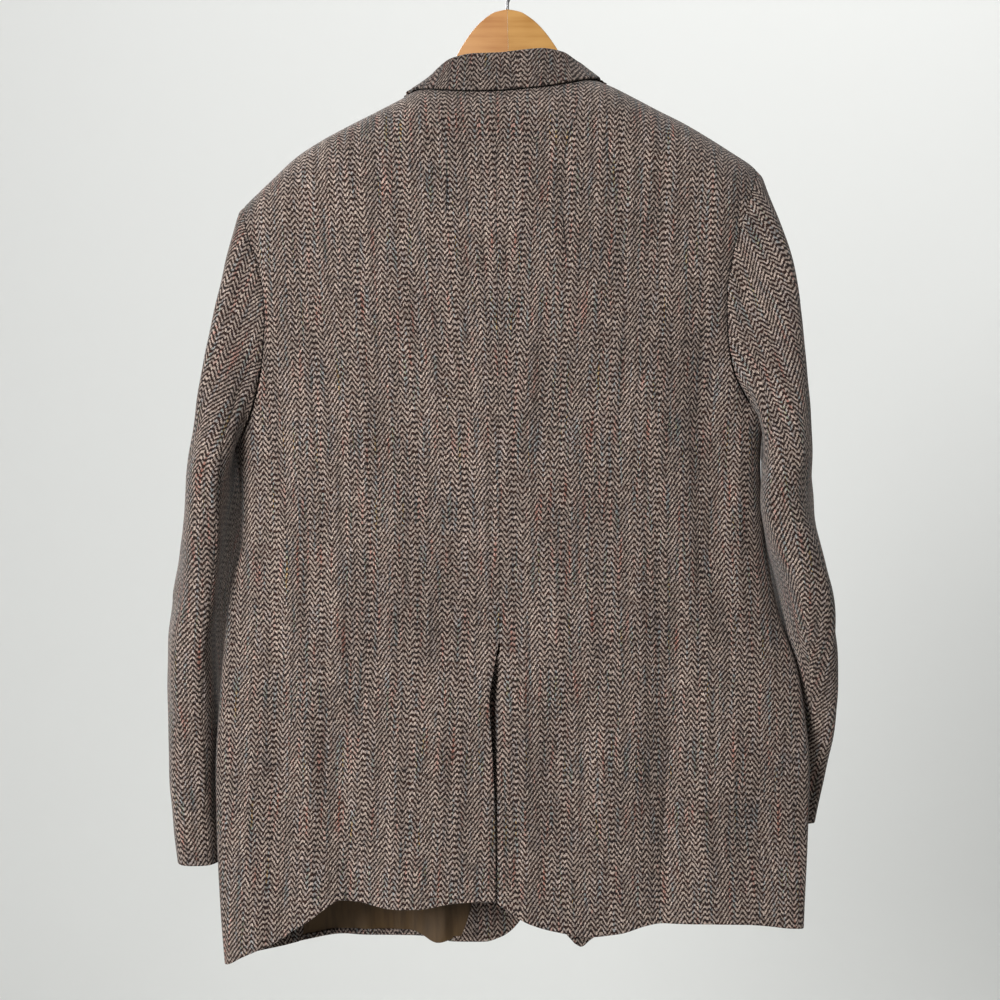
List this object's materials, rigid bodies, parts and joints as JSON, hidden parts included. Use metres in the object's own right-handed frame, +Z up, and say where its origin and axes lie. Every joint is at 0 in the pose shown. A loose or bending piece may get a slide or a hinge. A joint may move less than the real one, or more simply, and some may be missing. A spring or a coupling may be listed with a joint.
{
  "type": "tweed hacking jacket on a wooden hanger",
  "caption": "A single-breasted herringbone tweed hacking jacket with a centre vent, hanging flat on the wooden hanger that holds it by its shoulders.",
  "frame": {"origin": "inside top of the hanger's hook, where it hangs on a rail", "axes": "+Z up along the hook's stem; the back of the jacket faces -Y and its front faces +Y; the wearer's left is at -X"},
  "size_m": [0.6529, 0.2218, 0.9857],
  "materials": {
    "tweed": "rough woven wool in a brown and grey herringbone",
    "lining": "smooth brown lining with a soft sheen",
    "wood_left": "clear satin varnish, a little pinker",
    "wood_right": "clear satin varnish, a little yellower",
    "steel": "plated wire",
    "horn": "dark brown horn with a soft shine"
  },
  "bodies": {
    "root": {"back_left": "tweed", "back_right": "tweed", "button_1": "horn", "button_2": "horn", "button_3": "horn", "collar": "tweed", "facing_left": "tweed", "flap_left": "tweed", "flap_right": "tweed", "front_left": "tweed", "front_right": "tweed", "hanger_left": "wood_left", "hanger_right": "wood_right", "hook": "steel", "lapel_left": "tweed", "lapel_right": "tweed", "lining_left": "lining", "side_left": "tweed", "side_right": "tweed", "sleeve_top_left": "tweed", "sleeve_top_right": "tweed", "sleeve_under_left": "tweed", "sleeve_under_right": "tweed", "turnup_left": "tweed"}
  },
  "joints": []
}
